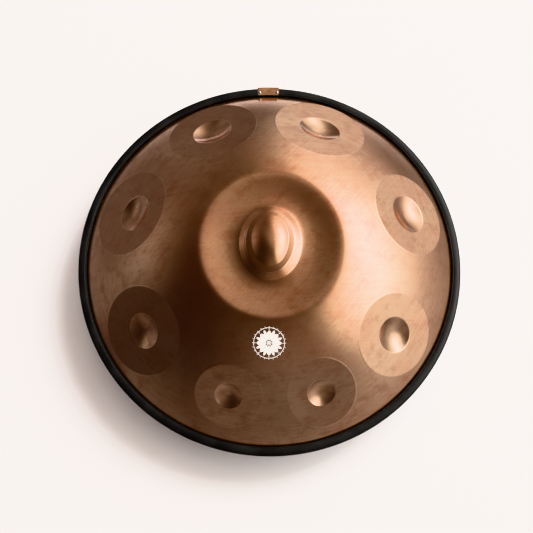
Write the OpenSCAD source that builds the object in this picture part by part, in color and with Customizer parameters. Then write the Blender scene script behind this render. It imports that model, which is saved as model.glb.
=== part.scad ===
// Handpan: two formed steel shells glued flange to flange, with a rubber guard round the rim.
// Origin: middle of the flat ring that the instrument rests on. +Z up, +Y towards the rim tag.

/* [Rim] */
// Diameter over the rubber edge guard
overall_d = 560; // [556:1:564]
// Height of the edge guard
guard_h = 10.6; // [9.6:0.2:12]
// Width of the edge guard, from its lips to its outside
guard_w = 12.7; // [12.5:0.1:12.9]
// Outside diameter of the two flanges
flange_d = 553; // [552:1:555]

/* [Shells] */
// Radius of curvature of both domes
dome_r = 377; // [374:1:380]
// Thickness of the steel
wall = 1.2; // [1:0.1:1.4]
// Radius of the bend between a dome and its flange
bend_r = 4; // [3.5:0.5:4.5]
// Thickness of the glue line between the flanges
bond_t = 0.5; // [0.3:0.1:0.7]

/* [Tone fields] */
// Angle from the upright axis to every field, seen from the dome's centre of curvature
field_tilt = 34.2; // [34:0.1:34.4]
// Depth of the dimple in the middle of a field
dimple_h = 7; // [5:0.5:8]

/* [Ding] */
// Diameter of the shallow dish round the ding
dish_d = 203; // [196:1:206]
// Depth of the dish below its edge
dish_h = 5.2; // [4:0.2:6]
// Length of the oval ding at its foot
ding_l = 107; // [104:1:114]
// Width of the oval ding at its foot
ding_w = 87; // [84:1:92]
// Height of the ding's ledge above the bottom of the dish
ledge_h = 8; // [7:0.5:10]
// Length of the oval crown that stands on the ledge
crown_l = 75; // [70:1:80]
// Width of the crown
crown_w = 52; // [48:1:58]
// Height of the crown above the ledge
crown_h = 9.5; // [8:0.5:11]

/* [Port] */
// Diameter of the port in the bottom shell
port_d = 100; // [90:1:106]
// Length of the port's straight neck
neck_l = 20; // [16:1:24]
// Radius of the rolled lip of the port
lip_r = 8; // [6:0.5:9]
// Diameter over the flat ring round the port
rest_d = 168; // [150:2:180]

/* [Tag] */
// Width of the leather tag along the rim
tag_w = 33.4; // [32:0.2:36]
// Thickness of the leather
tag_t = 1.2; // [1:0.1:1.6]
// Azimuth of the tag's middle, clockwise from +Y
tag_az = -1.75; // [-10:0.25:10]
// Distance between the two rivets
rivet_pitch = 26.5; // [25:0.5:27]
// Diameter of a rivet's shank
rivet_d = 3; // [2.4:0.2:3.2]
// Diameter of a rivet's cap
cap_d = 5; // [4.5:0.5:7]

/* [Hidden] */
$fn = 120;

// Each tone field: azimuth clockwise from +Y, radius of the flat, radius of the dimple
FIELDS = [
    [-25.5, 65, 28.5],
    [19.5, 66, 29],
    [-74, 63, 25.5],
    [71.5, 62, 27.5],
    [-123.5, 61, 24.5],
    [122.5, 59, 25.5],
    [-165.5, 47, 18.5],
    [159, 50, 20],
];

COPPER = [0.64, 0.42, 0.29];
COPPER_SHADE = [0.52, 0.33, 0.22];
GLUE = [0.55, 0.55, 0.55];
RUBBER = [0.12, 0.12, 0.13];
LEATHER = [0.42, 0.27, 0.17];
NICKEL = [0.76, 0.75, 0.73];

// Every height below is measured from the rim's middle plane, and RIM_H lifts the whole to the origin.
GUARD_R = overall_d / 2;
GUARD_TOP = guard_h / 2;
LIP_IN = GUARD_R - guard_w;
FLANGE_R = flange_d / 2;
FLANGE_LOW = bond_t / 2;
FLANGE_TOP = FLANGE_LOW + wall;

// Gap between the dome and the guard's lip, at the height of the guard's top
LIP_GAP = 3.6;
DOME_C = GUARD_TOP - sqrt(pow(dome_r, 2) - pow(LIP_IN - LIP_GAP, 2));

// Height of the outer skin of an uncut dome at a distance r from the axis
function dome_z(r) = DOME_C + sqrt(pow(dome_r, 2) - pow(r, 2));

// Radius of the sphere that leaves a cap of a given radius and height
function cap_sphere(r, h) = (pow(r, 2) + pow(h, 2)) / (2 * h);

// Centre of the bend's arc, tangent to the dome and to the flange
BEND_Z = FLANGE_TOP + bend_r;
BEND_X = sqrt(pow(dome_r + bend_r, 2) - pow(BEND_Z - DOME_C, 2));

FLAT_Z = dome_z(rest_d / 2);
RIM_H = FLAT_Z;
PORT_R = port_d / 2;

DISH_R = dish_d / 2;
DISH_LOW = dome_z(DISH_R) - dish_h;
// Width of the ledge's sloping side, and how deep it reaches into the dish
DING_TAPER = 9;
DING_ROOT = 3;
LEDGE_Z = DISH_LOW + ledge_h;
LEDGE_K = DING_TAPER / ledge_h;

// Half length of the ledge at a height z, g below its outer skin
function ledge_r(z, g) =
    ding_l / 2 - DING_TAPER + LEDGE_K * (LEDGE_Z - z) - g * sqrt(1 + pow(LEDGE_K, 2));

TAG_FIT = 0.05;
TAG_TOP = GUARD_TOP + TAG_FIT + tag_t;
TAG_OUT = GUARD_R + TAG_FIT + tag_t;
TAG_IN = LIP_IN - 0.3;
RIVET_R = 271.5;
HOLE_FIT = 0.1;
CAP_H = 1.6;

// ---- Shells. A body(g) fills all that lies under a skin, g below the outer one, ----
// ---- so a shell is body(0) less body(wall).                                       ----

module dome_body(g) {
    rotate_extrude() intersection() {
        translate([0, DOME_C]) circle(r = dome_r - g);
        translate([0, FLANGE_LOW]) square([FLANGE_R, dome_r]);
    }
    k = (dome_r - g) / (dome_r + bend_r);
    foot = [BEND_X * k, DOME_C + (BEND_Z - DOME_C) * k];
    rotate_extrude() difference() {
        polygon([foot, [BEND_X, BEND_Z], [BEND_X, FLANGE_LOW], [foot[0] - wall, FLANGE_LOW]]);
        translate([BEND_X, BEND_Z]) circle(r = bend_r + g);
    }
}

module ring(r_in, r_out, h) {
    difference() {
        cylinder(r = r_out, h = h);
        translate([0, 0, -1]) cylinder(r = r_in, h = h + 2);
    }
}

module flange() {
    translate([0, 0, FLANGE_LOW]) ring(BEND_X - wall, FLANGE_R, wall);
}

// Places a child with its +Z along a field's own axis, at the dome's centre of curvature
module on_field(f) {
    translate([0, 0, DOME_C]) rotate([0, 0, -f[0]]) rotate([-field_tilt, 0, 0]) children();
}

module field_cut(f, g) {
    flat_z = sqrt(pow(dome_r, 2) - pow(f[1], 2));
    ball = cap_sphere(f[2], dimple_h);
    translate([0, 0, flat_z - g]) cylinder(r = f[1] + 2, h = 20);
    translate([0, 0, flat_z - dimple_h + ball]) sphere(r = ball + g);
}

module ding_body(g) {
    low = DISH_LOW - DING_ROOT;
    scale([ding_w / ding_l, 1, 1]) translate([0, 0, low])
        cylinder(r1 = ledge_r(low, g), r2 = ledge_r(LEDGE_Z - g, g), h = LEDGE_Z - low - g);
    ball = cap_sphere(crown_l / 2, crown_h);
    scale([crown_w / crown_l, 1, 1]) rotate_extrude() intersection() {
        translate([0, LEDGE_Z + crown_h - ball]) circle(r = ball - g);
        translate([0, LEDGE_Z - 2 * wall]) square([crown_l, ball]);
    }
}

module top_body(g) {
    difference() {
        dome_body(g);
        for (f = FIELDS) on_field(f) field_cut(f, g);
        ball = cap_sphere(DISH_R, dish_h);
        translate([0, 0, DISH_LOW + ball]) sphere(r = ball + g);
    }
    ding_body(g);
}

// The port's passage, with its rolled lip
module port_body(g) {
    cylinder(r = PORT_R + g, h = FLAT_Z + 1);
    rotate_extrude() translate([PORT_R, FLAT_Z - lip_r]) difference() {
        square([lip_r, lip_r + 1]);
        translate([lip_r, 0]) circle(r = lip_r - g);
    }
}

module bottom_body(g) {
    difference() {
        intersection() {
            dome_body(g);
            cylinder(r = FLANGE_R, h = FLAT_Z - g);
        }
        port_body(g);
    }
}

module rivet_holes() {
    for (side = [-1, 1]) at_rivet(side)
        cylinder(d = rivet_d + 2 * HOLE_FIT, h = 4 * TAG_TOP, center = true);
}

module top_shell() {
    color(COPPER) translate([0, 0, RIM_H]) difference() {
        union() {
            top_body(0);
            flange();
        }
        top_body(wall);
        rivet_holes();
    }
}

module bottom_shell() {
    color(COPPER_SHADE) translate([0, 0, RIM_H]) mirror([0, 0, 1]) difference() {
        union() {
            bottom_body(0);
            flange();
        }
        bottom_body(wall);
        cylinder(r = PORT_R + wall, h = FLAT_Z - lip_r - neck_l);
        rivet_holes();
    }
}

module shell_bond() {
    color(GLUE) translate([0, 0, RIM_H]) difference() {
        translate([0, 0, -FLANGE_LOW]) ring(BEND_X + wall, FLANGE_R - 0.5, bond_t);
        rivet_holes();
    }
}

// ---- Edge guard: a split rubber ring of U section, its lips cut back to clear the bends ----

module guard_section() {
    corner = 3;
    back = GUARD_R - corner;
    difference() {
        union() {
            for (s = [-1, 1]) translate([back, s * (GUARD_TOP - corner)]) circle(r = corner);
            translate([back, corner - GUARD_TOP]) square([corner, guard_h - 2 * corner]);
            translate([LIP_IN, -GUARD_TOP]) square([guard_w - corner, guard_h]);
        }
        translate([LIP_IN - 1, -FLANGE_TOP]) square([FLANGE_R - LIP_IN + 1.5, 2 * FLANGE_TOP]);
        for (s = [-1, 1])
            polygon([[LIP_IN - 1, 0], [BEND_X + 0.6, 0], [BEND_X + 0.6, s * FLANGE_TOP],
                     [LIP_IN, s * (FLANGE_TOP + 2.2)], [LIP_IN - 1, s * (FLANGE_TOP + 2.2)]]);
    }
}

module edge_guard() {
    split = 0.15;
    color(RUBBER) translate([0, 0, RIM_H]) difference() {
        rotate([0, 0, 90 - tag_az + split / 2]) rotate_extrude(angle = 360 - split) guard_section();
        rivet_holes();
    }
}

// ---- Tag: leather folded round the guard, over its split, and held by two rivets ----

module tag_blank(out, top, corner) {
    back = TAG_OUT - 4;
    for (s = [-1, 1]) translate([back, s * (TAG_TOP - 4)]) circle(r = corner);
    translate([back, 4 - TAG_TOP]) square([corner, 2 * (TAG_TOP - 4)]);
    translate([out, -top]) square([back - out, 2 * top]);
}

module joint_tag() {
    span = tag_w / GUARD_R * 180 / PI;
    color(LEATHER) translate([0, 0, RIM_H]) difference() {
        rotate([0, 0, 90 - tag_az - span / 2]) rotate_extrude(angle = span) difference() {
            tag_blank(TAG_IN, TAG_TOP, 4);
            tag_blank(TAG_IN - 1, TAG_TOP - tag_t, 4 - tag_t);
        }
        rivet_holes();
    }
}

module at_rivet(side) {
    az = tag_az + side * rivet_pitch / RIVET_R * 90 / PI;
    rotate([0, 0, -az]) translate([0, RIVET_R, 0]) children();
}

// The domed cap on top, with the tube that takes the post's pin
module rivet_cap(side) {
    color(NICKEL) translate([0, 0, RIM_H]) at_rivet(side) rotate_extrude() difference() {
        union() {
            intersection() {
                translate([0, TAG_TOP + CAP_H - cap_d]) circle(r = cap_d);
                translate([0, TAG_TOP]) square([cap_d / 2, CAP_H]);
            }
            square([rivet_d / 2, TAG_TOP]);
        }
        translate([0, -1]) square([rivet_d / 4, TAG_TOP]);
    }
}

// The flat head underneath, with its shank and pin
module rivet_post(side) {
    color(NICKEL) translate([0, 0, RIM_H]) at_rivet(side) rotate_extrude() {
        translate([0, -TAG_TOP - 1]) square([cap_d / 2, 1]);
        translate([0, -TAG_TOP]) square([rivet_d / 2, TAG_TOP - 0.05]);
        translate([0, -1]) square([rivet_d / 4 - 0.02, TAG_TOP - 0.5]);
    }
}

module rivet_cap_left() { rivet_cap(-1); }
module rivet_cap_right() { rivet_cap(1); }
module rivet_post_left() { rivet_post(-1); }
module rivet_post_right() { rivet_post(1); }

top_shell();
bottom_shell();
shell_bond();
edge_guard();
joint_tag();
rivet_cap_left();
rivet_cap_right();
rivet_post_left();
rivet_post_right();
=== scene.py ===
"""Handpan: two patinated steel shells in a rubber edge guard, with a riveted leather tag and a painted
rosette. Lengths are in millimetres until a mesh is made, and heights are in the frame of the CAD model."""
from math import cos, degrees, pi, radians, sin, sqrt, tau

import bmesh
import bpy
import numpy as np
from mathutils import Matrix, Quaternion, Vector
from mathutils.geometry import delaunay_2d_cdt


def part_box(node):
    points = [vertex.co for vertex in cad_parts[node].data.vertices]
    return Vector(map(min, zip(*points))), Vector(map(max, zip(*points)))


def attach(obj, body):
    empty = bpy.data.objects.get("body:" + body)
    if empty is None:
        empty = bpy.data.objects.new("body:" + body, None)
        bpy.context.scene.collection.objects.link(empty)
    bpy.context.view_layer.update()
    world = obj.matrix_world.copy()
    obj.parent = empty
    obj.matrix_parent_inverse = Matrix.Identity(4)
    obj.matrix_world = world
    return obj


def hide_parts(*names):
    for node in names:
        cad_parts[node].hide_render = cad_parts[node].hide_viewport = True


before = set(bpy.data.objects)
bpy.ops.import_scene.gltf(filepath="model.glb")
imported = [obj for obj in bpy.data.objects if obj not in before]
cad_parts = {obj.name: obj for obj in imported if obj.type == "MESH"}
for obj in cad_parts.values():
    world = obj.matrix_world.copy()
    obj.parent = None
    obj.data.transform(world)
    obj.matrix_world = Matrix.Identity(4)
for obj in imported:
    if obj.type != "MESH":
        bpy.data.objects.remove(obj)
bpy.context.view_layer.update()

MM = 0.001

# ---- Dimensions: from the CAD frame, and the driving sizes that the shells are formed to ----

guard_low, guard_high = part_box("edge_guard")
RIM_Z = (guard_low.z + guard_high.z) / 2 / MM
GUARD_R = guard_high.x / MM
GUARD_TOP = guard_high.z / MM - RIM_Z
FLANGE_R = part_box("top_shell")[1].x / MM
CROWN_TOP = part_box("top_shell")[1].z / MM
TAG_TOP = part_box("joint_tag")[1].z / MM - RIM_Z
TAG_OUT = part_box("joint_tag")[1].y / MM

# GUARD_TOP, TAG_TOP and FLANGE_TOP are heights above the middle of the rim, RIM_Z
WALL = 1.2
DOME_R = 377.0
BEND_R = 4.0
BOND_T = 0.5
FLANGE_TOP = BOND_T / 2 + WALL
GUARD_W = 12.7
LIP_IN = GUARD_R - GUARD_W
# How far inside the guard's lips the dome reaches the height of the guard's top
LIP_GAP = 3.6
DOME_C = RIM_Z + GUARD_TOP - sqrt(DOME_R**2 - (LIP_IN - LIP_GAP) ** 2)
BEND_Z = RIM_Z + FLANGE_TOP + BEND_R
BEND_X = sqrt((DOME_R + BEND_R) ** 2 - (BEND_Z - DOME_C) ** 2)
FOOT_R = BEND_X * DOME_R / (DOME_R + BEND_R)
FOOT_ARC = DOME_R * np.arcsin(FOOT_R / DOME_R)
# Stands for "no edge near" in the edge_gap attribute. Near the edges the copper gets a paler tone, partly
# worn metal and partly a painted highlight line
FAR_FROM_EDGE = 99.0

FIELD_TILT = radians(34.2)
# Depth of a dimple with this half size along the radius. The others are in proportion
DIMPLE_DEPTH = 8.2
DIMPLE_HALF = 28
# How far a field's edge stands above the dome beside it
FIELD_STEP = 0.2
# How softly the edges of the flats and the dimples round off
FLAT_SOFT = 0.03
DIMPLE_SOFT = 0.035
# Each tone field: azimuth clockwise from +Y, half size along the radius and across it, the same for
# its dimple, and how far the dimple sits from the middle towards the rim
FIELDS = [
    (-25.5, 66, 68, 28, 30, 0),
    (19.5, 67, 69, 27, 31, 0),
    (-74, 60, 67, 24, 28, -7),
    (71.5, 60, 65, 27, 29, 0),
    (-123.5, 60, 65, 23, 26, 0),
    (122.5, 60, 60, 26, 25, 0),
    (-165.5, 47, 48, 19, 19, 0),
    (159, 52, 49, 20, 20, 0),
]

# Half sizes along X and Y of the ding's crown, of its foot and of the dish, and where their middles lie
CROWN_HALF = (25.6, 37.0)
CROWN_CENTRE = (-0.6, 2.6)
CROWN_H = 8.8
FOOT_HALF = (43.5, 53.5)
FOOT_CENTRE = (0.2, 0.6)
# Slope of the ding's side against the distance outwards, from 0 at the crown's edge to DING_FOOT at the
# foot and on into the dish. The side is steepest at DING_CREASE
DING_FOOT = 17.0
DING_CREASE = 7.5
DING_SLOPES = [(0, -0.1), (0.6, -0.2), (6.9, -0.24), (DING_CREASE, -0.62), (8.8, -0.36), (9.6, -0.54),
               (16.6, -0.56), (17.3, -0.22), (21, -0.14), (26, -0.05), (31, 0)]
DISH_HALF = (98.5, 104.5)
# How far the dish's bottom rounds off, as a share of the way from the ding to the dish's edge
DISH_ROUND = 0.3
DISH_CENTRE = (1.2, -0.7)
# How softly the dish's edge melts into the dome, in millimetres of height
DISH_BLEND = 2.0
# Share of the way from the ding to the dish's edge at which the plain dome takes over, and a radius that
# is always past it
DISH_REACH = 1.75
MIDDLE_REACH = 140

TAG_AZ = radians(-1.75)
TAG_W = 33.4
TAG_T = 1.2

# ---- Mesh helpers ----


def to_object(name, points, faces, material, attributes=None):
    """A closed, smooth mesh object from points in millimetres."""
    mesh = bpy.data.meshes.new(name)
    mesh.from_pydata((np.asarray(points) * MM).tolist(), [], faces)
    for key, values in (attributes or {}).items():
        layer = mesh.attributes.new(key, "FLOAT", "POINT")
        layer.data.foreach_set("value", np.asarray(values, np.float32))
    work = bmesh.new()
    work.from_mesh(mesh)
    bmesh.ops.recalc_face_normals(work, faces=work.faces)
    work.to_mesh(mesh)
    work.free()
    mesh.shade_smooth()
    mesh.materials.append(material)
    obj = bpy.data.objects.new(name, mesh)
    bpy.context.scene.collection.objects.link(obj)
    return obj


def finish_piece(obj, slot_name, *nodes):
    """Hangs the piece on the root body and hides the CAD nodes that it replaces. slot_name is not used."""
    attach(obj, "root")
    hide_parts(*nodes)
    return obj


def sharpen(obj, angle):
    """Keeps edges steeper than an angle crisp, with the faces on both sides smooth."""
    obj.data.set_sharp_from_angle(angle=radians(angle))


def arc(centre, radius, start, end, count):
    """Points on an arc in the (r, z) plane, angles in degrees from the outward direction."""
    turn = np.radians(np.linspace(start, end, count))
    return np.stack([centre[0] + radius * np.cos(turn), centre[1] + radius * np.sin(turn)], 1)


def segment(start, end, count):
    """Points from start towards end, without the last one."""
    share = np.linspace(0, 1, count, endpoint=False)[:, None]
    return np.asarray(start) * (1 - share) + np.asarray(end) * share


def lathe(profile, count, start=0.0, span=tau):
    """Points and faces of a closed (r, z) profile turned round the axis. A part turn gets end caps."""
    full = span >= tau
    azimuth = start + span * np.arange(count) / (count if full else count - 1)
    r, z = np.asarray(profile).T
    x = np.outer(np.sin(azimuth), r)
    y = np.outer(np.cos(azimuth), r)
    points = np.stack([x, y, np.broadcast_to(z, x.shape)], 2).reshape(-1, 3)
    size = len(r)
    faces = grid_faces(count, size, full, True)
    if not full:
        faces += [list(range(size)), list(range((count - 1) * size, count * size))[::-1]]
    return points, faces


def grid_faces(rows, columns, rows_close, columns_close):
    """Quads over a grid of vertices. Each way, the last line joins the first if that way closes."""
    faces = []
    for i in range(rows if rows_close else rows - 1):
        a, b = i * columns, (i + 1) % rows * columns
        for j in range(columns if columns_close else columns - 1):
            k = (j + 1) % columns
            faces.append([a + j, b + j, b + k, a + k])
    return faces


def smooth_step(low, high, x):
    t = np.clip((x - low) / (high - low), 0, 1)
    return t * t * (3 - 2 * t)


def soft_positive(x, width):
    """x where it is positive and 0 elsewhere, with a rounded corner."""
    return (x + np.sqrt(x * x + width * width)) / 2


# ---- The top shell's skin, as points along directions from the dome's centre of curvature ----


def direction(theta, azimuth):
    return np.stack([np.sin(theta) * np.sin(azimuth), np.sin(theta) * np.cos(azimuth), np.cos(theta)], -1)


def oval(half, azimuth):
    """Distance from the middle of an oval to its edge. half is its half sizes along X and Y."""
    return 1 / np.sqrt((np.sin(azimuth) / half[0]) ** 2 + (np.cos(azimuth) / half[1]) ** 2)


def off_centre(centre, azimuth):
    """What a small shift of an oval's middle adds to the distance of its edge from the axis."""
    return centre[0] * np.sin(azimuth) + centre[1] * np.cos(azimuth)


def local_axes(tilt, azimuth):
    """Outward direction of a spot on the dome, the way down towards the rim, and the way clockwise."""
    outward = direction(tilt, azimuth)
    down = direction(tilt + pi / 2, azimuth)
    across = np.array([cos(azimuth), -sin(azimuth), 0.0])
    return outward, down, across


def local_direction(axes, a, b):
    """Direction of the spot that lies a down and b across, along the dome, from the middle of axes."""
    outward, down, across = axes
    distance = np.maximum(np.hypot(a, b), 1e-9)
    turn = distance / DOME_R
    side = (a / distance)[..., None] * down + (b / distance)[..., None] * across
    return outward * np.cos(turn)[..., None] + side * np.sin(turn)[..., None]


def local_place(axes, u):
    """How far down and across each direction lies from the middle of axes: local_direction undone."""
    outward, down, across = axes
    x, y = u @ down, u @ across
    side = np.maximum(np.hypot(x, y), 1e-9)
    distance = DOME_R * np.arctan2(side, u @ outward)
    return distance * x / side, distance * y / side


FIELD_AXES = [local_axes(FIELD_TILT, radians(field[0])) for field in FIELDS]
slope_at, slope = np.array(DING_SLOPES, float).T
DISH_START = slope_at[-1]
DING_T = np.linspace(0, DISH_START, 321)
DING_STEP = DING_T[1]
ding_slope = np.interp(DING_T, slope_at, slope)
DING_DROP = np.concatenate([[0], np.cumsum((ding_slope[1:] + ding_slope[:-1]) / 2 * DING_STEP)])
CROWN_EDGE_Z = CROWN_TOP - CROWN_H
VALLEY_Z = CROWN_EDGE_Z + DING_DROP[-1]


def dome_height(r):
    return DOME_C + np.sqrt(DOME_R**2 - r**2)


def crown_rim(azimuth):
    return oval(CROWN_HALF, azimuth) + off_centre(CROWN_CENTRE, azimuth)


def ding_stretch(azimuth):
    """Millimetres of radius for each step of the ding's side, so that its foot lands on its own oval."""
    foot = oval(FOOT_HALF, azimuth) + off_centre(FOOT_CENTRE, azimuth)
    return (foot - crown_rim(azimuth)) / DING_FOOT


def dish_edge(azimuth):
    return oval(DISH_HALF, azimuth) + off_centre(DISH_CENTRE, azimuth)


def dish_span(azimuth):
    """Distances from the axis at which the dish starts to rise and at which it ends."""
    return crown_rim(azimuth) + DISH_START * ding_stretch(azimuth), dish_edge(azimuth)


def middle_height(r, azimuth):
    """Height of the ding, and of the dish round it, which melts into the dome past its edge."""
    crown_edge = crown_rim(azimuth)
    out = (r - crown_edge) / ding_stretch(azimuth)
    crown = CROWN_EDGE_Z + CROWN_H * (1 - (r / crown_edge) ** 2)
    side = CROWN_EDGE_Z + np.interp(out, DING_T, DING_DROP)
    ding = np.where(out < 0, crown, side)
    start, edge = dish_span(azimuth)
    share = (r - start) / (edge - start)
    full_rise = sqrt(1 + DISH_ROUND**2) - DISH_ROUND
    rise = (np.sqrt(np.maximum(share, 0) ** 2 + DISH_ROUND**2) - DISH_ROUND) / full_rise
    dish = VALLEY_Z + (dome_height(edge) - VALLEY_Z) * rise
    blend = DISH_BLEND * smooth_step(0, 0.5, share) * (1 - smooth_step(1.3, 1.7, share))
    gap = dish - dome_height(r)
    dished = dome_height(r) + (gap - np.sqrt(gap * gap + blend * blend)) / 2
    return np.where(share <= 0, ding, dished), share, out


def field_depth(u):
    """Depth of the tone fields below the dome, and the distance to the nearest edge in them."""
    depth = np.zeros(len(u))
    edge_gap = np.full(len(u), FAR_FROM_EDGE)
    for (_, half_a, half_b, dimple_a, dimple_b, shift), axes in zip(FIELDS, FIELD_AXES):
        a, b = local_place(axes, u)
        s = (a / half_a) ** 2 + (b / half_b) ** 2
        q = ((a - shift) / dimple_a) ** 2 + (b / dimple_b) ** 2
        flat = half_a * half_b / (2 * DOME_R) * soft_positive(1 - s, FLAT_SOFT)
        flat -= FIELD_STEP * smooth_step(0.9, -0.9, (np.sqrt(s) - 1) * half_a)
        dimple = DIMPLE_DEPTH * dimple_a / DIMPLE_HALF * soft_positive(1 - q, DIMPLE_SOFT)
        near = u @ axes[0] > cos(1.5 * half_b / DOME_R)
        depth += np.where(near, flat + dimple, 0)
        gap = np.minimum(np.abs(np.sqrt(s) - 1) * half_a, np.abs(np.sqrt(q) - 1) * dimple_a)
        edge_gap = np.where(near, np.minimum(edge_gap, gap), edge_gap)
    return depth, edge_gap


def ripple(u):
    """Height of the faint waves that hand forming leaves in the sheet."""
    long_height, short_height = 0.08, 0.01
    x, y = DOME_R * u[:, 0], DOME_R * u[:, 1]
    long_wave = np.sin(x / 12.7 + 0.6 * np.sin(y / 31)) * np.sin(y / 13.9 + 0.8 * np.sin(x / 27) + 1.3)
    short_wave = np.sin(x / 4.9 + y / 11 + 0.7) * np.sin(y / 5.3 - x / 13)
    return long_height * long_wave + short_height * short_wave


def lift(u):
    """Points of the skin along directions u, and each one's distance from the nearest edge, where the copper
    is paler: partly worn, partly a painted highlight line.
    """
    r = DOME_R * np.hypot(u[:, 0], u[:, 1])
    azimuth = np.arctan2(u[:, 0], u[:, 1])
    depth, edge_gap = field_depth(u)
    points = u * (DOME_R - depth)[:, None] + [0, 0, DOME_C]
    height, share, out = middle_height(np.minimum(r, MIDDLE_REACH), azimuth)
    inside = share < DISH_REACH
    points[:, 0] = np.where(inside, r * np.sin(azimuth), points[:, 0])
    points[:, 1] = np.where(inside, r * np.cos(azimuth), points[:, 1])
    points[:, 2] = np.where(inside, height, points[:, 2])
    points -= u * ripple(u)[:, None]
    return points, np.minimum(edge_gap, np.abs(out - DING_CREASE))


class Patchwork:
    """Rings of directions stitched into one skin. Each vertex is known by its number."""

    def __init__(self):
        self.rings = []
        self.count = 0
        self.faces = []

    def ring(self, u):
        """Adds directions and returns their numbers."""
        u = np.atleast_2d(u)
        self.rings.append(u)
        self.count += len(u)
        return np.arange(self.count - len(u), self.count)

    def stitch(self, inner, outer):
        following = np.roll(np.arange(len(inner)), -1)
        quads = np.stack([inner, inner[following], outer[following], outer], 1)
        self.faces += quads.tolist()

    def fan(self, middle, ring):
        self.faces += [[middle, a, b] for a, b in zip(ring.tolist(), np.roll(ring, -1).tolist())]

    def directions(self):
        return np.concatenate(self.rings)

    def chain(self, rings):
        """Stitches rings that each follow the one before, and returns the last."""
        ids = [self.ring(u) for u in rings]
        if len(ids[0]) == 1:
            self.fan(int(ids[0][0]), ids[1])
            ids = ids[1:]
        for inner, outer in zip(ids[:-1], ids[1:]):
            self.stitch(inner, outer)
        return ids[-1]


def thin_out(values, step):
    """Every step-th value, always with the last."""
    kept = list(values[::step])
    return kept if kept[-1] == values[-1] else kept + [values[-1]]


# Where the rings of a field and of the middle end, and the evenly spread points of the open dome begin,
# as shares of a field's half size and of the way from the ding to the dish's edge
FIELD_RIM = 1.045
MIDDLE_RIM = 1.32
# Spacing of the points on the open dome, how far apart its rows are and how far it keeps from the rings,
# as shares of the spacing
FILL_PITCH = 3.4
ROW_SHARE = 0.87
CLEARANCE = 0.6


def field_patch(patch, field, axes, count, step):
    """One tone field: rings over its dimple, across its flat and over its edge. Returns the last ring."""
    _, half_a, half_b, dimple_a, dimple_b, shift = field
    turn = np.linspace(0, tau, count, endpoint=False)
    dimple = np.stack([dimple_a * np.cos(turn), dimple_b * np.sin(turn)])
    flat = np.stack([half_a * np.cos(turn), half_b * np.sin(turn)])
    start = np.array([[shift], [0]], float)
    bowl = [0, 0.12, 0.25, 0.38, 0.5, 0.61, 0.71, 0.8, 0.87, 0.92, 0.955, 0.98, 1.0, 1.02, 1.045, 1.075, 1.12]
    border = [0.92, 0.945, 0.965, 0.98, 0.99, 1.0, 1.01, 1.025, FIELD_RIM]
    places = [start + dimple * q for q in thin_out(bowl, step)]
    last, first = places[-1], flat * border[0]
    places += [last + (first - last) * w for w in np.linspace(0, 1, 7 // step)[1:-1]]
    places += [flat * s for s in thin_out(border, step)]
    rings = [local_direction(axes, a, b) for a, b in places[1:]]
    middle = local_direction(axes, start[0], start[1])
    return patch.chain([middle] + rings)


def middle_patch(patch, count, step):
    """The ding and its dish, out to just past the dish's edge. Returns the last ring."""
    azimuth = np.linspace(0, tau, count, endpoint=False)
    crown_edge = crown_rim(azimuth)
    start, edge = dish_span(azimuth)
    crown = [0, 0.08, 0.17, 0.27, 0.37, 0.48, 0.58, 0.67, 0.76, 0.84, 0.91, 0.96, 1.0]
    side = [0.5, 1.0, 1.8, 3, 4.5, 5.8, 6.4, 6.9, 7.3, 7.7, 8.2, 8.8, 9.4, 10.2, 11.6, 13, 14.4, 15.4, 16]
    side += [16.4, 16.8, 17.2, 17.8, 18.8, 20.2, 22, 24, 26.5, 29, DISH_START]
    dish = [0.05, 0.1, 0.2, 0.3, 0.4, 0.5, 0.6, 0.69, 0.77, 0.84, 0.9, 0.95, 1.0, 1.05, 1.1, 1.16, 1.23]
    dish += [MIDDLE_RIM]
    radii = [crown_edge * q for q in thin_out(crown, step)[1:]]
    stretch = ding_stretch(azimuth)
    radii += [crown_edge + stretch * t for t in thin_out(side, step)]
    radii += [start + (edge - start) * w for w in thin_out(dish, step)]
    rings = [direction(np.arcsin(r / DOME_R), azimuth) for r in radii]
    return patch.chain([np.array([[0.0, 0.0, 1.0]])] + rings)


def dome_fill(outer_arc, inner_arc, pitch):
    """Directions of evenly staggered points on the open dome, clear of the fields and the dish."""
    found = []
    rows = int((outer_arc - inner_arc) / (pitch * ROW_SHARE))
    for row, distance in enumerate(np.linspace(inner_arc, outer_arc, rows)):
        count = int(tau * DOME_R * sin(distance / DOME_R) / pitch)
        azimuth = (np.arange(count) + row % 2 / 2) * tau / count
        found.append(direction(np.full(count, distance / DOME_R), azimuth))
    u = np.concatenate(found)
    keep = np.ones(len(u), bool)
    for (_, half_a, half_b, *_), axes in zip(FIELDS, FIELD_AXES):
        a, b = local_place(axes, u)
        clear = FIELD_RIM + CLEARANCE * pitch / half_a
        keep &= np.hypot(a / half_a, b / half_b) > clear
    azimuth = np.arctan2(u[:, 0], u[:, 1])
    start, edge = dish_span(azimuth)
    clear = start + (edge - start) * MIDDLE_RIM + CLEARANCE * pitch
    keep &= DOME_R * np.hypot(u[:, 0], u[:, 1]) > clear
    return u[keep]


def flatten(u):
    """The dome's directions laid out flat, true to distance from the apex."""
    distance = DOME_R * np.arccos(np.clip(u[:, 2], -1, 1))
    azimuth = np.arctan2(u[:, 0], u[:, 1])
    return distance * np.sin(azimuth), distance * np.cos(azimuth)


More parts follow.
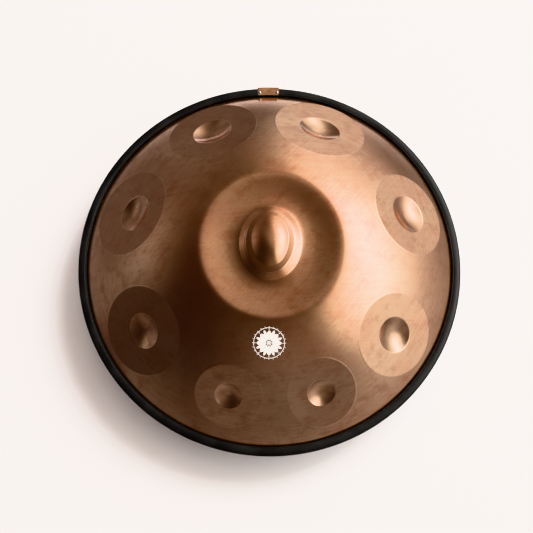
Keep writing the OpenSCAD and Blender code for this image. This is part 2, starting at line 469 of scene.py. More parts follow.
def web(patch, outer, holes, fill):
    """Triangles between the outer ring and the holes' rings, through the fill points."""
    loops = [outer] + holes
    fill_ids = patch.ring(fill)
    ids = np.concatenate(loops + [fill_ids])
    # Each loop's points share its number, and every fill point has a negative number of its own
    loop_owners = [np.full(len(loop), k) for k, loop in enumerate(loops)]
    owner = np.concatenate(loop_owners + [-1 - np.arange(len(fill_ids))])
    x, y = flatten(patch.directions()[ids])
    edges, start = [], 0
    for loop in loops:
        n = len(loop)
        edges += [(start + i, start + (i + 1) % n) for i in range(n)]
        start += n
    flat = [Vector(p) for p in zip(x.tolist(), y.tolist())]
    _, _, triangles, origins, _, _ = delaunay_2d_cdt(flat, edges, [], 0, 1e-5, True)
    source = [o[0] for o in origins]
    for triangle in triangles:
        corners = [source[k] for k in triangle]
        owners = {int(owner[k]) for k in corners}
        # With all its corners on one hole's ring, a triangle lies inside that hole
        if len(owners) == 1 and owners.pop() > 0:
            continue
        patch.faces.append([int(ids[k]) for k in corners])


def build_skin(rim_count, step):
    """The whole skin down to the bend, and its rim. step thins the skin out for the inner side."""
    middle_count, field_density, inner_arc = 320, 2.3, 100
    patch = Patchwork()
    azimuth = np.linspace(0, tau, rim_count, endpoint=False)
    rim = patch.ring(direction(np.full(rim_count, FOOT_ARC / DOME_R), azimuth))
    holes = [middle_patch(patch, middle_count // step, step)]
    for field, axes in zip(FIELDS, FIELD_AXES):
        count = int(field[1] * field_density) // 4 * 4 // step
        holes.append(field_patch(patch, field, axes, count, step))
    pitch = FILL_PITCH * step
    fill = dome_fill(FOOT_ARC - pitch * 0.7, inner_arc, pitch)
    web(patch, rim, holes, fill)
    return patch, rim


def rim_profile(inner):
    """Bend and flange of the top shell from the foot of the dome outwards, as (r, z) points."""
    radius = BEND_R + (WALL if inner else 0)
    foot_angle = degrees(np.arctan2(DOME_C - BEND_Z, -BEND_X))
    bend = arc((BEND_X, BEND_Z), radius, 180 + foot_angle % 180, 270, 7)[1:]
    flange_z = BEND_Z - radius
    if inner:
        return np.concatenate([bend, [[FLANGE_R, flange_z]]])
    edge = [[FLANGE_R - 3, flange_z], [FLANGE_R - 0.3, flange_z], [FLANGE_R, flange_z - 0.3]]
    return np.concatenate([bend, edge])


def turned(profile, count):
    """Points of a profile, ring after ring."""
    azimuth = np.linspace(0, tau, count, endpoint=False)
    rings = [np.stack([r * np.sin(azimuth), r * np.cos(azimuth), np.full(count, z)], 1) for r, z in profile]
    return np.concatenate(rings)


def side_of_shell(rim_count, step):
    """Patchwork, last ring, points and edge distances of one side of the sheet, before any offset."""
    patch, last = build_skin(rim_count, step)
    points, edge_gap = lift(patch.directions())
    return patch, last, points, edge_gap


def offset_inwards(points, faces, amount):
    """The points moved under the surface along its normals, for the inner side of the sheet."""
    mesh = bpy.data.meshes.new("offset")
    mesh.from_pydata(points.tolist(), [], faces)
    normals = np.zeros(len(points) * 3, np.float32)
    mesh.vertex_normals.foreach_get("vector", normals)
    bpy.data.meshes.remove(mesh)
    normals = normals.reshape(-1, 3)
    normals *= np.sign(normals[:, 2:3])
    return points - normals * amount


def add_rim(points, faces, last, profile, count):
    """Continues a side of the shell over the bend to the flange's edge. Returns its new last ring too."""
    rows = turned(profile, count)
    start = len(points)
    points = np.concatenate([points, rows])
    following = np.roll(np.arange(count), -1)
    for row in range(len(profile)):
        ring = np.arange(start + row * count, start + (row + 1) * count)
        faces += np.stack([last, last[following], ring[following], ring], 1).tolist()
        last = ring
    return points, faces, last


def make_top_shell(material):
    """The drawn sheet: a fine outer side, a coarser inner side one wall further in, and their edge."""
    outer_count, inner_count = 640, 320
    patch, last, points, edge_gap = side_of_shell(outer_count, 1)
    points, faces, last = add_rim(points, patch.faces, last, rim_profile(False), outer_count)
    inner_patch, inner_last, inner, _ = side_of_shell(inner_count, 2)
    inner = offset_inwards(inner, inner_patch.faces, WALL)
    inner, inner_faces, inner_last = add_rim(
        inner, inner_patch.faces, inner_last, rim_profile(True), inner_count
    )
    start = len(points)
    faces += [[start + k for k in reversed(face)] for face in inner_faces]
    inner_last = inner_last + start
    # The outer edge has twice the points of the inner one, so each step takes a triangle and a quad
    for j in range(inner_count):
        a, b, c = last[2 * j], last[2 * j + 1], last[(2 * j + 2) % outer_count]
        d, e = inner_last[j], inner_last[(j + 1) % inner_count]
        faces += [[int(a), int(b), int(d)], [int(b), int(c), int(e), int(d)]]
    points = np.concatenate([points, inner])
    gaps = np.full(len(points), FAR_FROM_EDGE)
    gaps[: len(edge_gap)] = edge_gap
    obj = to_object("top_shell_skin", points, faces, material, {"edge_gap": gaps})
    return finish_piece(obj, "copper_steel", "top_shell")


# ---- Bottom shell: the same dome turned over, with a flat ring, a rolled lip and a neck ----


def bottom_profile():
    """Closed (r, z) section of the bottom shell, outer side first, from the flange to the neck."""
    ring_r, port_r, lip_r, neck_top = 84.0, 50.0, 8.0, 28.0
    low_c = 2 * RIM_Z - DOME_C
    bend_z = 2 * RIM_Z - BEND_Z
    flange_z = RIM_Z - FLANGE_TOP
    foot_angle = np.arctan2(low_c - bend_z, BEND_X)

    def dome(gap):
        radius = DOME_R - gap
        end = np.arcsin((ring_r + 1.5) / radius)
        start = pi / 2 - foot_angle
        turn = np.linspace(start, end, 70)
        return np.stack([radius * np.sin(turn), low_c - radius * np.cos(turn)], 1)

    def bend(gap):
        return arc((BEND_X, bend_z), BEND_R + gap, 90, 180 - degrees(foot_angle), 8)[:-1]

    def foot(gap):
        lip = arc((port_r + lip_r, lip_r), lip_r - gap, 270, 180, 12)
        flat = segment((ring_r - 1.5, gap), (port_r + lip_r, gap), 6)
        neck = segment((port_r + gap, lip_r + 3), (port_r + gap, neck_top), 5)
        return np.concatenate([flat, lip, neck])

    edge = [[FLANGE_R, flange_z + 0.3], [FLANGE_R - 0.3, flange_z]]
    outer = np.concatenate([edge, bend(0), dome(0), foot(0)])
    end = np.array([[port_r + 0.2, neck_top], [port_r + WALL - 0.2, neck_top]])
    inner = np.concatenate([bend(WALL), dome(WALL), foot(WALL)])[::-1]
    top = np.array([[FLANGE_R, RIM_Z - BOND_T / 2]])
    return np.concatenate([outer, end, inner, top])


def make_bottom_shell(material):
    points, faces = lathe(bottom_profile(), 360)
    gaps = np.full(len(points), FAR_FROM_EDGE)
    obj = to_object("bottom_shell_skin", points, faces, material, {"edge_gap": gaps})
    return finish_piece(obj, "copper_steel", "bottom_shell")


# ---- Edge guard ----


def guard_profile():
    """Closed (r, z) section: rounded back, crowned faces with a fine bead line, and two soft lips."""
    tip = 0.8
    lip_low = FLANGE_TOP + 2.2
    crest = LIP_IN + 2.8
    turn = np.linspace(pi / 2, 0, 22)
    back_r = crest + (GUARD_R - crest) * np.cos(turn) ** 0.78
    back_z = GUARD_TOP * np.sin(turn) ** 0.78
    upper = np.concatenate([
        arc((LIP_IN + tip, GUARD_TOP - 0.35 - tip), tip, 190, 95, 6),
        [[LIP_IN + 1.7, GUARD_TOP - 0.3], [LIP_IN + 2.0, GUARD_TOP - 0.45], [LIP_IN + 2.3, GUARD_TOP - 0.2]],
        np.stack([back_r, back_z], 1),
    ])
    inside = np.array([[FLANGE_R + 0.5, FLANGE_TOP], [BEND_X + 0.6, FLANGE_TOP], [LIP_IN + 0.1, lip_low]])
    half = np.concatenate([inside, upper])
    mirrored = half[-2::-1] * [1, -1]
    return np.concatenate([half, mirrored]) + [0, RIM_Z]


def make_guard(material):
    split = radians(0.15)
    points, faces = lathe(guard_profile(), 481, TAG_AZ + split / 2, tau - split)
    obj = to_object("edge_guard_rubber", points, faces, material)
    sharpen(obj, 50)
    return finish_piece(obj, "guard_rubber", "edge_guard")


# ---- Leather tag with its two rivets ----

# Radius of the tag's fold, of its rounded corners, and how far its leaves reach inside the guard's lips
TAG_FOLD_R = 4.0
TAG_CORNER_R = 2.6
TAG_REACH = 0.3
# Points along a leaf of the tag and along a quarter of its fold
LEAF_POINTS = 18
FOLD_POINTS = 9


def tag_path():
    """Outer face of the tag in section, from the end of its top leaf round to the bottom one's, and the
    outward normals there."""
    centre = (TAG_OUT - TAG_FOLD_R, TAG_TOP - TAG_FOLD_R)
    leaf = segment((LIP_IN - TAG_REACH, TAG_TOP), (centre[0], TAG_TOP), LEAF_POINTS)
    half = np.concatenate([leaf, arc(centre, TAG_FOLD_R, 90, 0, FOLD_POINTS)])
    up = np.tile([0.0, 1.0], (LEAF_POINTS, 1))
    normals = np.concatenate([up, arc((0, 0), 1, 90, 0, FOLD_POINTS)])
    path = np.concatenate([half, half[::-1] * [1, -1]])
    return path, np.concatenate([normals, normals[::-1] * [1, -1]])


def tag_section(across):
    """Closed (r, z) sections of the tag, one for each place across it, from -1 to 1: the outer face and
    then the inner one back. The outer face is set back along the edges and in a pressed frame line."""
    path, normals = tag_path()
    share = np.concatenate([np.linspace(0, 1, LEAF_POINTS), np.ones(FOLD_POINTS)])
    share = np.concatenate([share, share[::-1]])
    end_gap = share * (TAG_OUT - TAG_FOLD_R - LIP_IN + TAG_REACH)
    end_round = 0.35 * (1 - smooth_step(0, 0.9, end_gap))
    rows = []
    for side in across:
        edge = TAG_W / 2 * (1 - abs(side))
        inset = 0.35 * (1 - smooth_step(0, 0.9, edge)) + end_round
        panel = smooth_step(4.6, 5.0, edge) * (1 - smooth_step(5.5, 5.9, edge))
        frame_line = panel * smooth_step(1.9, 2.3, end_gap) * (share < 1)
        frame_bar = smooth_step(1.9, 2.3, end_gap) * (1 - smooth_step(2.8, 3.2, end_gap)) * (edge > 5.2)
        inset += 0.16 * np.maximum(frame_line, frame_bar)
        outer = path - normals * inset[:, None]
        inner = path - normals * (TAG_T - 0.3 * (inset > 0.2))[:, None]
        corner = TAG_CORNER_R - sqrt(max(TAG_CORNER_R**2 - max(TAG_CORNER_R - edge, 0) ** 2, 0))
        for line in (outer, inner):
            line[:, 0] += corner * (1 - share)
        rows.append(np.concatenate([outer, inner[::-1]]))
    return np.array(rows)


def make_tag(material):
    across = np.linspace(-1, 1, 57)
    across = np.sign(across) * (1 - (1 - np.abs(across)) ** 1.25)
    section = tag_section(across)
    azimuth = TAG_AZ + across * TAG_W / 2 / GUARD_R
    x = section[:, :, 0] * np.sin(azimuth)[:, None]
    y = section[:, :, 0] * np.cos(azimuth)[:, None]
    points = np.stack([x, y, section[:, :, 1] + RIM_Z], 2).reshape(-1, 3)
    size = section.shape[1]
    faces = grid_faces(len(across), size, False, True)
    for row in (0, len(across) - 1):
        start = row * size
        for j in range(size // 2 - 1):
            faces.append([start + j, start + j + 1, start + size - 2 - j, start + size - 1 - j])
    obj = to_object("joint_tag_leather", points, faces, material)
    sharpen(obj, 60)
    return finish_piece(obj, "tag_leather", "joint_tag")


def rivet_profile(node, head_up):
    """Closed (r, z) section of a rivet's half: a head with a rolled edge on a plain shank."""
    low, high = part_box(node)
    radius = (high.x - low.x) / 2 / MM
    bottom, top = low.z / MM, high.z / MM
    if head_up:
        head, shoulder = top, RIM_Z + TAG_TOP
        crown = [[0.0, head], [radius * 0.35, head - 0.08], [radius * 0.65, head - 0.38]]
        rim = [[radius * 0.88, head - 0.85], [radius, shoulder + 0.3], [radius * 0.97, shoulder]]
        stem = [[1.5, shoulder], [1.5, bottom + 0.2], [1.3, bottom], [0.0, bottom]]
    else:
        head, shoulder = bottom, RIM_Z - TAG_TOP
        crown = [[0.0, head + 0.1], [radius * 0.3, head + 0.1], [radius * 0.42, head]]
        rim = [[radius * 0.9, head], [radius, head + 0.25], [radius, shoulder - 0.1]]
        rim += [[radius * 0.96, shoulder]]
        stem = [[1.5, shoulder], [1.5, RIM_Z - 0.1], [0.7, RIM_Z], [0.7, top - 0.1], [0.0, top]]
    return np.array(crown + rim + stem)


def make_rivet_half(side, part, material):
    node = f"rivet_{part}_{side}"
    low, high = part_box(node)
    middle = (low + high) / 2 / MM
    points, faces = lathe(rivet_profile(node, part == "cap"), 40)
    points[:, 0] += middle.x
    points[:, 1] += middle.y
    obj = to_object(f"{node}_turned", points, faces, material)
    weld = bmesh.new()
    weld.from_mesh(obj.data)
    bmesh.ops.remove_doubles(weld, verts=weld.verts, dist=1e-6)
    bmesh.ops.recalc_face_normals(weld, faces=weld.faces)
    weld.to_mesh(obj.data)
    weld.free()
    sharpen(obj, 40)
    return finish_piece(obj, "nickel", node)


# ---- Painted rosette on the dome, in front of the dish ----

# X and Y of the rosette's middle
ROSETTE_SPOT = (1.5, -137.4)
# How far the paint stands above the sheet, and how far its plates reach into it
PAINT_T = 0.12
PAINT_SUNK = 0.05


class Decal:
    """Thin closed plates that follow the dome, each from a grid of places round the rosette's middle."""

    def __init__(self):
        r = np.hypot(*ROSETTE_SPOT)
        self.axes = local_axes(np.arcsin(r / DOME_R), np.arctan2(*ROSETTE_SPOT))
        self.points = []
        self.faces = []
        self.count = 0

    def plate(self, a, b, closed=False):
        """Adds one plate. a and b are the places down and across, rows by columns."""
        rows, columns = a.shape
        u = local_direction(self.axes, a, b).reshape(-1, 3)
        skin, _ = lift(u)
        size = len(u)
        self.points += [skin + u * PAINT_T, skin - u * PAINT_SUNK]
        start = self.count
        top = grid_faces(rows, columns, closed, False)
        self.faces += [[start + k for k in face] for face in top]
        self.faces += [[start + size + k for k in reversed(face)] for face in top]
        for line in self.border(rows, columns, closed):
            for p, q in zip(line[:-1], line[1:]):
                self.faces.append([start + p, start + q, start + size + q, start + size + p])
        self.count += 2 * size

    def border(self, rows, columns, closed):
        """The lines of vertex numbers that run round the open sides of a grid."""
        ids = np.arange(rows * columns).reshape(rows, columns)
        if closed:
            wrapped = np.concatenate([ids, ids[:1]])
            return [wrapped[:, 0].tolist(), wrapped[::-1, -1].tolist()]
        around = [ids[:, 0], ids[-1, 1:], ids[-2::-1, -1], ids[0, -2::-1]]
        return [np.concatenate(around).tolist()]

    def ring(self, inner, outer, count):
        turn = np.linspace(0, tau, count, endpoint=False)[:, None]
        radius = np.linspace(inner, outer, 3)[None]
        self.plate(np.cos(turn) * radius, np.sin(turn) * radius, closed=True)

    def leaf(self, angle, start, end, width, gap, side):
        """Half of a pointed leaf that lies along a radius, on one side of its midrib."""
        along = np.linspace(0, 1, 17)[:, None]
        swell = np.sin(pi * along**0.8) ** 0.85
        inner_side = gap / 2 * np.ones_like(along)
        outer_side = np.maximum(gap / 2 + 0.06, width * swell)
        share = np.linspace(0, 1, 5)[None]
        offset = side * (inner_side + (outer_side - inner_side) * share)
        radius = start + (end - start) * along * np.ones_like(share)
        a = cos(angle) * radius - sin(angle) * offset
        b = sin(angle) * radius + cos(angle) * offset
        self.plate(a, b)

    def dot(self, angle, radius, size):
        turn = np.linspace(0, tau, 14, endpoint=False)[:, None]
        spread = np.linspace(0.02, size, 3)[None]
        a = cos(angle) * radius + np.cos(turn) * spread
        b = sin(angle) * radius + np.sin(turn) * spread
        self.plate(a, b, closed=True)


def make_rosette(material):
    """A middle disc and ring, two sizes of petals with dots at their tips, and a dotted rim line."""
    decal = Decal()
    decal.ring(0.05, 1.5, 24)
    decal.ring(2.3, 3.1, 40)
    petals = 8
    for k in range(petals):
        angle = tau * k / petals
        for side in (-1, 1):
            decal.leaf(angle, 4.0, 17.4, 3.9, 0.5, side)
            decal.leaf(angle + pi / petals, 10.6, 19.0, 1.7, 0.35, side)
        decal.dot(angle, 19.1, 0.65)
    decal.ring(20.6, 21.2, 96)
    for k in range(3 * petals):
        decal.dot(tau * k / (3 * petals), 22.3, 0.45)
    points = np.concatenate(decal.points)
    obj = to_object("painted_rosette", points, decal.faces, material)
    sharpen(obj, 40)
    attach(obj, "root")
    return obj


# ---- Materials ----


class Shader:
    """A material's node tree, with short calls for the nodes that the finishes share."""

    def __init__(self, name):
        self.material = bpy.data.materials.new(name)
        self.material.use_nodes = True
        self.tree = self.material.node_tree
        self.surface = self.tree.nodes["Principled BSDF"]

    @classmethod
    def of_tree(cls, tree):
        """Short calls for a tree that isn't a material's."""
        made = cls.__new__(cls)
        made.tree = tree
        return made

    def node(self, kind, inputs=None, **settings):
        made = self.tree.nodes.new("ShaderNode" + kind)
        for key, value in settings.items():
            setattr(made, key, value)
        for key, value in (inputs or {}).items():
            self.feed(made.inputs[key], value)
        return made

    def feed(self, socket, value):
        if isinstance(value, bpy.types.NodeSocket):
            self.tree.links.new(value, socket)
        else:
            socket.default_value = value

    def set(self, **values):
        for key, value in values.items():
            self.feed(self.surface.inputs[key.replace("_", " ")], value)

    def math(self, operation, a, b=0.0, c=0.0, clamp=False):
        return self.node("Math", {0: a, 1: b, 2: c}, operation=operation, use_clamp=clamp).outputs[0]

    def dot(self, a, b):
        return self.node("VectorMath", {0: a, 1: tuple(b)}, operation="DOT_PRODUCT").outputs["Value"]

    def position(self):
        return self.node("TexCoord").outputs["Object"]

    def stretched(self, scale, turn):
        """Object coordinates turned and then scaled, for patterns that run one way."""
        inputs = {"Vector": self.position(), "Rotation": turn}
        turned_place = self.node("VectorRotate", inputs, rotation_type="EULER_XYZ").outputs[0]
        return self.node("VectorMath", {0: turned_place, 1: scale}, operation="MULTIPLY").outputs[0]

    def radius(self):
        """Distance from the object's upright axis."""
        flat = self.node("VectorMath", {0: self.position(), 1: (1, 1, 0)}, operation="MULTIPLY")
        return self.node("VectorMath", {0: flat.outputs[0]}, operation="LENGTH").outputs["Value"]

    def polar(self, radial, around):
        """Coordinates that run fast outwards from the axis, and downwards, and slowly round it."""
        parts = self.node("SeparateXYZ", {0: self.position()}).outputs
        radius = self.radius()
        safe = self.math("MAXIMUM", radius, 0.004)
        inputs = {
            "X": self.math("MULTIPLY", self.math("SUBTRACT", radius, parts["Z"]), radial),
            "Y": self.math("MULTIPLY", self.math("DIVIDE", parts["X"], safe), around),
            "Z": self.math("MULTIPLY", self.math("DIVIDE", parts["Y"], safe), around),
        }
        return self.node("CombineXYZ", inputs).outputs[0]

    def noise(self, vector, scale, detail, roughness):
        inputs = {"Vector": vector, "Scale": scale, "Detail": detail, "Roughness": roughness}
        return self.node("TexNoise", inputs).outputs["Fac"]

    def remap(self, value, low, high, to_low=0.0, to_high=1.0):
        inputs = {"Value": value, "From Min": low, "From Max": high, "To Min": to_low, "To Max": to_high}
        return self.node("MapRange", inputs, interpolation_type="SMOOTHSTEP").outputs[0]

    def mix(self, share, a, b):
        made = self.node("Mix", data_type="RGBA")
        for socket, value in zip((made.inputs[0], made.inputs[6], made.inputs[7]), (share, a, b)):
            self.feed(socket, value)
        return made.outputs[2]

    def bump(self, height, distance, strength):
        inputs = {"Height": height, "Distance": distance, "Strength": strength}
        return self.node("Bump", inputs).outputs[0]


def copper_material(name, tarnish):
    """Heat-patinated, hand-brushed copper tone on steel: redder in the middle, paler towards the rim."""
    s = Shader(name)
    clouds = s.noise(s.position(), 11, 6, 0.6)
    blots = s.noise(s.position(), 46, 5, 0.62)
    rings = s.noise(s.polar(340, 7), 1, 3, 0.6)
    fine_rings = s.noise(s.polar(1100, 20), 1, 2, 0.5)
    strokes = s.noise(s.stretched((340, 15, 15), (0, 0, radians(38))), 1, 3, 0.6)
    counter = s.noise(s.stretched((18, 300, 18), (0, 0, radians(-9))), 1, 3, 0.6)
    hatch = s.math("MULTIPLY", s.math("ADD", strokes, counter), 0.5)
    outer = s.remap(s.radius(), 0.085, 0.20)
    ring_share = s.remap(s.radius(), 0.15, 0.25, 0.25, 0.7)
    grain = s.math("MULTIPLY_ADD", s.math("SUBTRACT", rings, hatch), ring_share, hatch)
    mid = s.mix(outer, (0.78, 0.37, 0.21, 1), (0.78, 0.45, 0.285, 1))
    bright = s.mix(outer, (0.88, 0.485, 0.27, 1), (0.88, 0.57, 0.36, 1))
    dark = s.mix(outer, (0.55, 0.225, 0.12, 1), (0.55, 0.28, 0.18, 1))
    colour = s.mix(s.remap(clouds, 0.36, 0.66), mid, bright)
    colour = s.mix(s.remap(blots, 0.45, 0.70, 0, 0.6 * tarnish), colour, dark)
    colour = s.mix(s.remap(grain, 0.49, 0.60, 0, 0.42), colour, bright)
    colour = s.mix(s.remap(grain, 0.51, 0.38, 0, 0.32), colour, dark)
    gap = s.node("Attribute", attribute_name="edge_gap").outputs["Fac"]
    # Paler copper near the field, dimple and ding edges: partly worn metal, partly a painted highlight line
    # along the creases
    wear_and_highlight = s.remap(gap, 1.3, 0.2)
    colour = s.mix(s.math("MULTIPLY", wear_and_highlight, 0.3), colour, (0.95, 0.64, 0.44, 1))
    rough = s.math("ADD", s.remap(clouds, 0.3, 0.7, 0.20, 0.16), s.remap(grain, 0.38, 0.62, 0.04, -0.02))
    rough = s.math("ADD", rough, s.remap(blots, 0.5, 0.75, 0, 0.06 * tarnish))
    rough = s.math("SUBTRACT", rough, s.math("MULTIPLY", wear_and_highlight, 0.04))
    relief = s.math("ADD", s.math("MULTIPLY", rings, 0.5), s.math("MULTIPLY", fine_rings, 0.35))
    relief = s.math("ADD", relief, s.math("MULTIPLY", hatch, 0.6))
    s.set(Base_Color=colour, Metallic=1.0, Roughness=rough, Normal=s.bump(relief, 0.00006, 0.3))
    return s.material


def rubber_material():
    """Moulded black rubber with a soft bloom, fine flow lines and a little dust."""
    s = Shader("guard_rubber_black")
    bloom = s.noise(s.position(), 26, 5, 0.6)
    lines = s.noise(s.polar(1500, 9), 1, 3, 0.55)
    speck = s.noise(s.position(), 1800, 2, 0.6)
    colour = s.mix(s.remap(bloom, 0.35, 0.7), (0.006, 0.006, 0.006, 1), (0.014, 0.014, 0.014, 1))
    colour = s.mix(s.remap(speck, 0.66, 0.78, 0, 0.5), colour, (0.06, 0.058, 0.055, 1))
    rough = s.math("ADD", s.remap(bloom, 0.3, 0.7, 0.42, 0.56), s.remap(lines, 0.4, 0.6, -0.03, 0.04))
    relief = s.math("ADD", s.math("MULTIPLY", lines, 0.6), s.math("MULTIPLY", speck, 0.5))
    s.set(Base_Color=colour, Roughness=rough, Normal=s.bump(relief, 0.00012, 0.35))
    s.set(Specular_IOR_Level=0.45)
    return s.material


def leather_material():
    """Brown leather with pebbled grain, darker hollows, and paler edges that are partly worn and partly a
    painted highlight.
    """
    s = Shader("tag_leather_brown")
    cells = s.node("TexVoronoi", {"Vector": s.position(), "Scale": 1500.0}, feature="DISTANCE_TO_EDGE")
    grain = s.remap(cells.outputs["Distance"], 0.0, 0.22)
    tone = s.noise(s.position(), 120, 5, 0.6)
    fibre = s.noise(s.position(), 900, 4, 0.6)
    colour = s.mix(s.remap(tone, 0.32, 0.68), (0.115, 0.052, 0.026, 1), (0.235, 0.118, 0.058, 1))
    colour = s.mix(s.remap(grain, 0.0, 0.6, 0.45, 0.0), colour, (0.055, 0.024, 0.012, 1))
    ridge = s.node("NewGeometry").outputs["Pointiness"]
    # Paler on the sharp edges: partly worn leather, partly a painted highlight along the edges
    colour = s.mix(s.remap(ridge, 0.53, 0.62, 0, 0.5), colour, (0.42, 0.25, 0.14, 1))
    relief = s.math("ADD", s.math("MULTIPLY", grain, 0.7), s.math("MULTIPLY", fibre, 0.3))
    s.set(Base_Color=colour, Roughness=s.remap(tone, 0.3, 0.7, 0.42, 0.58))
    s.set(Normal=s.bump(relief, 0.00018, 0.55), Specular_IOR_Level=0.5)
    return s.material


def nickel_material():
    """Nickel plate with faint clouds and light scratches."""
    s = Shader("rivet_nickel")
    scuff = s.noise(s.stretched((2600, 500, 500), (0, 0, 0.6)), 1, 4, 0.6)
    cloud = s.noise(s.position(), 300, 4, 0.6)
    colour = s.mix(s.remap(cloud, 0.35, 0.7), (0.80, 0.77, 0.71, 1), (0.62, 0.58, 0.52, 1))
    rough = s.math("ADD", s.remap(scuff, 0.4, 0.65, 0.13, 0.24), s.remap(cloud, 0.4, 0.7, 0, 0.06))
    s.set(Base_Color=colour, Metallic=1.0, Roughness=rough, Normal=s.bump(scuff, 0.00004, 0.3))
    return s.material


def epoxy_material():
    """Cloudy grey structural adhesive with small bubbles."""
    s = Shader("bond_epoxy_grey")
    cloud = s.noise(s.position(), 90, 5, 0.6)
    bubbles = s.node("TexVoronoi", {"Vector": s.position(), "Scale": 900.0}).outputs["Distance"]
    colour = s.mix(s.remap(cloud, 0.3, 0.7), (0.24, 0.235, 0.22, 1), (0.34, 0.33, 0.30, 1))
    rough = s.remap(cloud, 0.3, 0.7, 0.3, 0.45)
    s.set(Base_Color=colour, Roughness=rough, Normal=s.bump(s.remap(bubbles, 0, 0.3), 0.0001, 0.4))
    return s.material


def paint_material():
    """White paint, slightly chalky, with small pits."""
    s = Shader("rosette_paint_white")
    tone = s.noise(s.position(), 160, 5, 0.6)
    pits = s.noise(s.position(), 2200, 3, 0.6)
    colour = s.mix(s.remap(tone, 0.3, 0.7), (0.80, 0.785, 0.76, 1), (0.90, 0.885, 0.87, 1))
    colour = s.mix(s.remap(pits, 0.66, 0.74, 0, 0.6), colour, (0.55, 0.45, 0.38, 1))
    s.set(Base_Color=colour, Roughness=s.remap(tone, 0.3, 0.7, 0.5, 0.62))
    s.set(Normal=s.bump(pits, 0.00006, 0.4))
    return s.material


# ---- Stage: floor, light and camera ----


def make_floor():
    """A large pale sheet that curves up into a wall far away all round. The metal doesn't mirror it."""
    flat, bend, around = 5000, 3000, 96
    turn = np.linspace(0.1, pi / 2, 14)
    flat_radii = [1.0] + np.linspace(400, flat, 24).tolist()
    radii = np.concatenate([flat_radii, flat + bend * np.sin(turn)])
    heights = np.concatenate([np.zeros(len(flat_radii)), bend - bend * np.cos(turn)])
    azimuth = np.linspace(0, tau, around, endpoint=False)
    x, y = np.outer(radii, np.sin(azimuth)), np.outer(radii, np.cos(azimuth))
    points = np.stack([x, y, np.broadcast_to(heights[:, None], x.shape)], 2).reshape(-1, 3)
    faces = grid_faces(len(radii), around, False, True) + [list(range(around))]
    s = Shader("floor_paper")
    tone = s.noise(s.position(), 4.5, 4, 0.55)
    fibre = s.noise(s.position(), 60, 4, 0.6)
    colour = s.mix(s.remap(tone, 0.3, 0.7), (0.89, 0.87, 0.875, 1), (0.92, 0.90, 0.91, 1))
    colour = s.mix(s.remap(fibre, 0.3, 0.7, 0, 0.25), colour, (0.88, 0.86, 0.865, 1))
    s.set(Base_Color=colour, Roughness=0.9, Specular_IOR_Level=0.0)
    obj = to_object("floor", points, faces, s.material)
    obj.visible_glossy = False
    return obj


KEY_TINT = (1.0, 1.0, 0.95)
WARM_TINT = (1.0, 0.97, 0.98)
COOL_TINT = (1.0, 0.97, 1.08)
ROOM_COLOUR = (0.034, 0.0285, 0.04)
# The studio as the metal mirrors it. Each light has an azimuth clockwise from +Y and an elevation, the
# half width and half height of its glow, all in degrees, then its brightness and its tint
STUDIO = {
    "key_softbox": (60, 40, 22, 12, 10.0, KEY_TINT),
    "key_spill": (96, 46, 15, 12, 3.5, KEY_TINT),
    "right_wall": (95, 18, 40, 20, 0.65, WARM_TINT),
    "back_right_wall": (46, 11, 19, 9, 0.75, WARM_TINT),
    "back_wall": (16, 14, 13, 24, 1.1, WARM_TINT),
    "back_left_wall": (-30, 8, 20, 28, 0.17, WARM_TINT),
    "left_wall": (-70, 27, 19, 13, 0.33, WARM_TINT),
    "ceiling": (36, 67, 27, 17, 0.45, WARM_TINT),
    "left_card": (-90, 8, 12, 12, 0.12, WARM_TINT),
    "front_fill": (163, 48, 25, 24, 0.2, WARM_TINT),
    "front_left_card": (-165, 27, 12, 8, 0.12, WARM_TINT),
    "front_bounce": (150, -10, 90, 22, 0.2, WARM_TINT),
    "back_floor": (0, -24, 25, 7, 1.5, COOL_TINT),
    "right_floor": (60, -35, 35, 22, 0.3, COOL_TINT),
    "left_floor": (-74, -22, 26, 27, 0.28, COOL_TINT),
}


def soft_glow(s, ray, azimuth, elevation, half_width, half_height):
    """How much of one light is seen along a ray: 1 in its middle, fading softly to its sides."""
    outward, down, across = local_axes(radians(90 - elevation), radians(azimuth))
    x = s.math("DIVIDE", s.dot(ray, across), radians(half_width))
    y = s.math("DIVIDE", s.dot(ray, down), radians(half_height))
    reach = s.math("ADD", s.math("MULTIPLY", x, x), s.math("MULTIPLY", y, y))
    fade = s.math("EXPONENT", s.math("MULTIPLY", reach, -1.0))
    # Keeps the glow off the far side of the room, where the same place on the disc comes up again
    front = s.math("MULTIPLY_ADD", s.dot(ray, outward), 4.0, clamp=True, c=1.0)
    return s.math("MULTIPLY", fade, front)


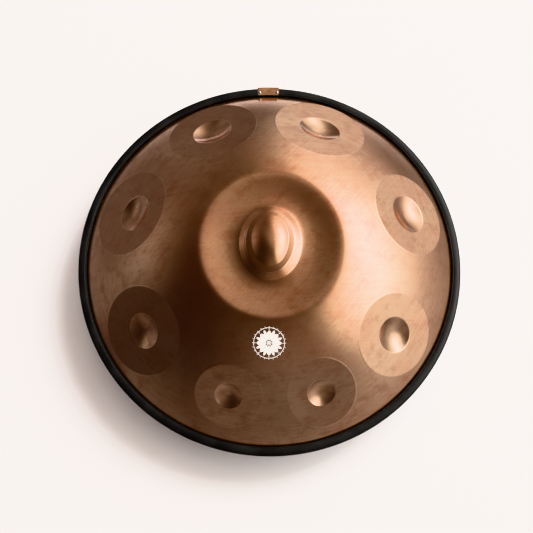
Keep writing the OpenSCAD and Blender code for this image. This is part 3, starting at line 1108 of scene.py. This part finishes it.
def make_sky():
    """Surroundings that the metal mirrors: a dim room with one large softbox and weaker glows."""
    world = bpy.data.worlds.new("studio")
    bpy.context.scene.world = world
    world.use_nodes = True
    s = Shader.of_tree(world.node_tree)
    ray = s.node("TexCoord").outputs["Generated"]
    light = ROOM_COLOUR
    for azimuth, elevation, half_width, half_height, level, tint in STUDIO.values():
        glow = s.math("MULTIPLY", soft_glow(s, ray, azimuth, elevation, half_width, half_height), level)
        tinted = s.node("VectorMath", {0: tint, "Scale": glow}, operation="SCALE").outputs[0]
        light = s.node("VectorMath", {0: light, 1: tinted}, operation="ADD").outputs[0]
    s.feed(world.node_tree.nodes["Background"].inputs["Color"], light)
    return world


def make_lamp(name, place, size, power, colour):
    """A soft round lamp, aimed at the object's foot, that lights the floor and the dull pieces. The metal
    mirrors only the studio's glows."""
    data = bpy.data.lights.new(name, "AREA")
    data.shape = "DISK"
    data.size = size
    data.energy = power
    data.color = colour
    lamp = bpy.data.objects.new(name, data)
    lamp.location = place
    lamp.rotation_mode = "QUATERNION"
    lamp.rotation_quaternion = (-Vector(place)).to_track_quat("-Z", "Y")
    lamp.visible_glossy = False
    bpy.context.scene.collection.objects.link(lamp)
    return lamp


def make_camera():
    """Looks down on the object from the front, as the photograph does, with a slight roll."""
    elevation, roll, distance = radians(74), radians(1.4), 1.46
    aim = Vector((-0.0045, -0.005, RIM_Z * MM - 0.0015))
    back = Vector((0, -cos(elevation), sin(elevation)))
    data = bpy.data.cameras.new("camera")
    data.sensor_width = 36
    data.lens = 67.2
    data.clip_start, data.clip_end = 0.01, 50
    camera = bpy.data.objects.new("camera", data)
    camera.location = aim + back * distance
    camera.rotation_mode = "QUATERNION"
    level = (-back).to_track_quat("-Z", "Y")
    camera.rotation_quaternion = level @ Quaternion((0, 0, 1), roll)
    bpy.context.scene.collection.objects.link(camera)
    bpy.context.scene.camera = camera


make_camera()
copper = copper_material("copper_patina", 1.0)
copper_under = copper_material("copper_patina_underside", 1.5)
nickel = nickel_material()
make_top_shell(copper)
make_bottom_shell(copper_under)
make_guard(rubber_material())
make_tag(leather_material())
for side in ("left", "right"):
    for part in ("cap", "post"):
        make_rivet_half(side, part, nickel)
make_rosette(paint_material())
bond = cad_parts["shell_bond"]
bond.data.materials.clear()
bond.data.materials.append(epoxy_material())

make_floor()
make_sky()
make_lamp("top_fill", (0.2, 0.15, 2.6), 2.4, 43, (1.0, 0.83, 0.70))
make_lamp("side_fill", (0.95, 0.75, 2.4), 1.0, 57, (0.96, 0.99, 1.0))
view = bpy.context.scene.view_settings
view.view_transform = "Khronos PBR Neutral"
